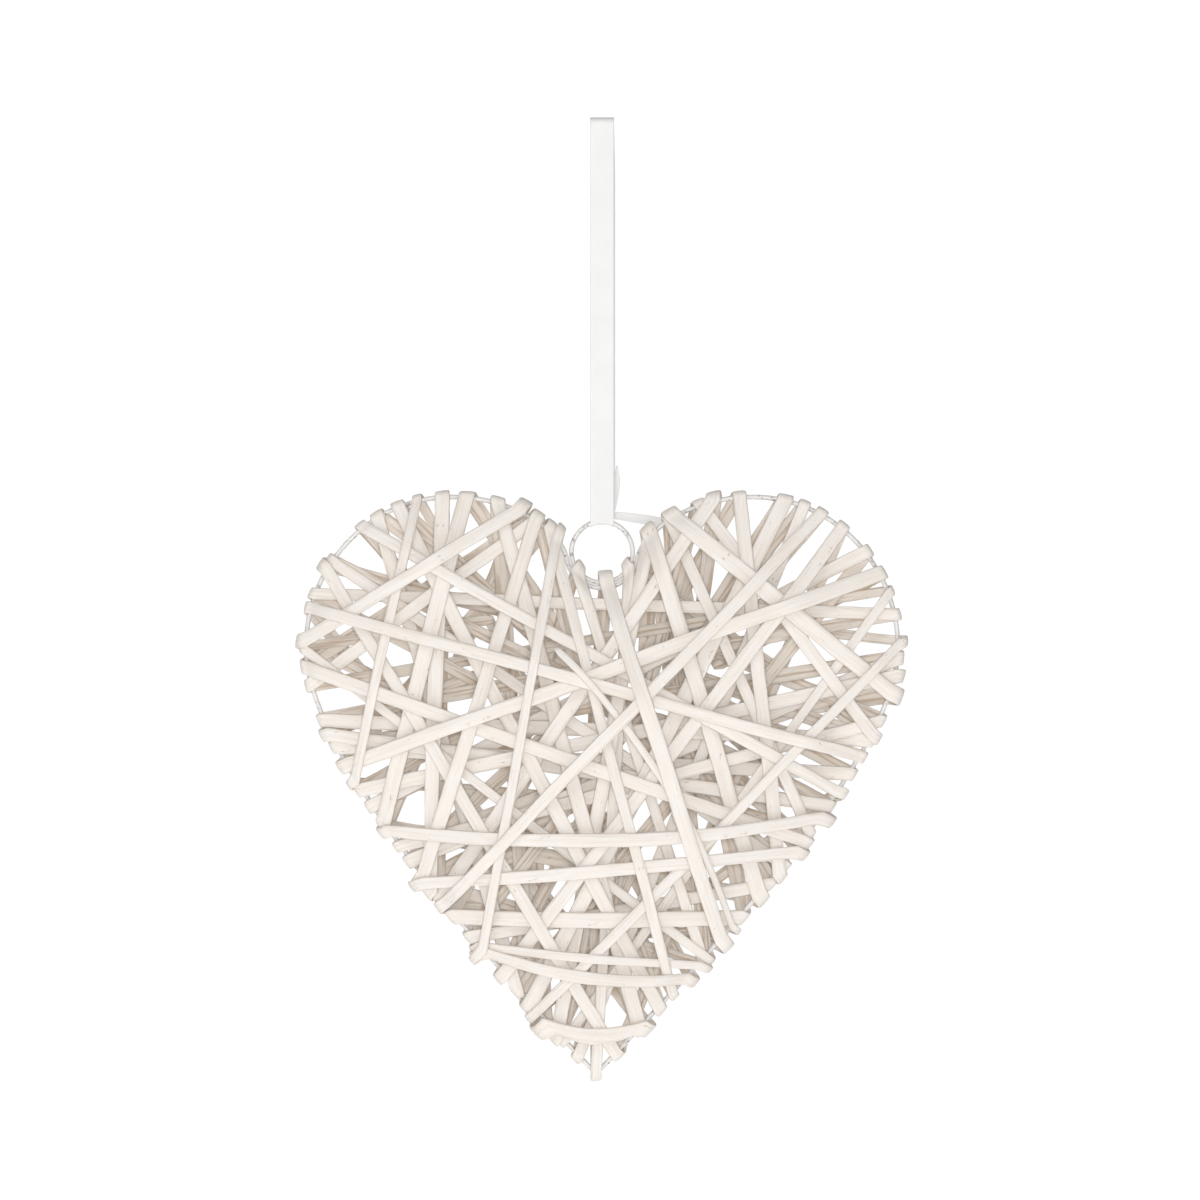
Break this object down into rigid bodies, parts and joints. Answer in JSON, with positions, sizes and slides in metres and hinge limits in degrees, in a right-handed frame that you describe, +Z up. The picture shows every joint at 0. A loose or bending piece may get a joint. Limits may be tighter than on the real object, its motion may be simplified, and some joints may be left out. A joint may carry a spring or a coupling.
{
  "type": "hanging wicker heart",
  "caption": "Puffed heart of white-painted willow strips wound over a bent wire frame, with a small wire ring in its notch and a satin ribbon loop to hang it by.",
  "frame": {"origin": "inside top of the ribbon's loop, where it lies on a hook or nail", "axes": "+Z up, along the hanging ribbon; -Y out of the heart's front; +X to the right as seen from the front"},
  "size_m": [0.3052, 0.0594, 0.4819],
  "materials": {
    "willow": "matt white paint, thinly brushed over split willow",
    "wire": "white paint, worn to grey specks",
    "ribbon": "white satin"
  },
  "bodies": {
    "root": {"heart_wire": "wire", "hanging_ring": "wire", "willow_strip_01": "willow", "willow_strip_02": "willow", "willow_strip_03": "willow", "willow_strip_04": "willow", "willow_strip_05": "willow", "willow_strip_06": "willow", "willow_strip_07": "willow", "willow_strip_08": "willow", "willow_strip_09": "willow", "willow_strip_10": "willow", "willow_strip_11": "willow", "willow_strip_12": "willow", "willow_strip_13": "willow", "willow_strip_14": "willow", "willow_strip_15": "willow", "willow_strip_16": "willow", "willow_strip_17": "willow", "willow_strip_18": "willow", "willow_strip_19": "willow", "willow_strip_20": "willow", "willow_strip_21": "willow", "willow_strip_22": "willow", "willow_strip_23": "willow", "willow_strip_24": "willow", "willow_strip_25": "willow", "hanging_ribbon": "ribbon"}
  },
  "joints": []
}
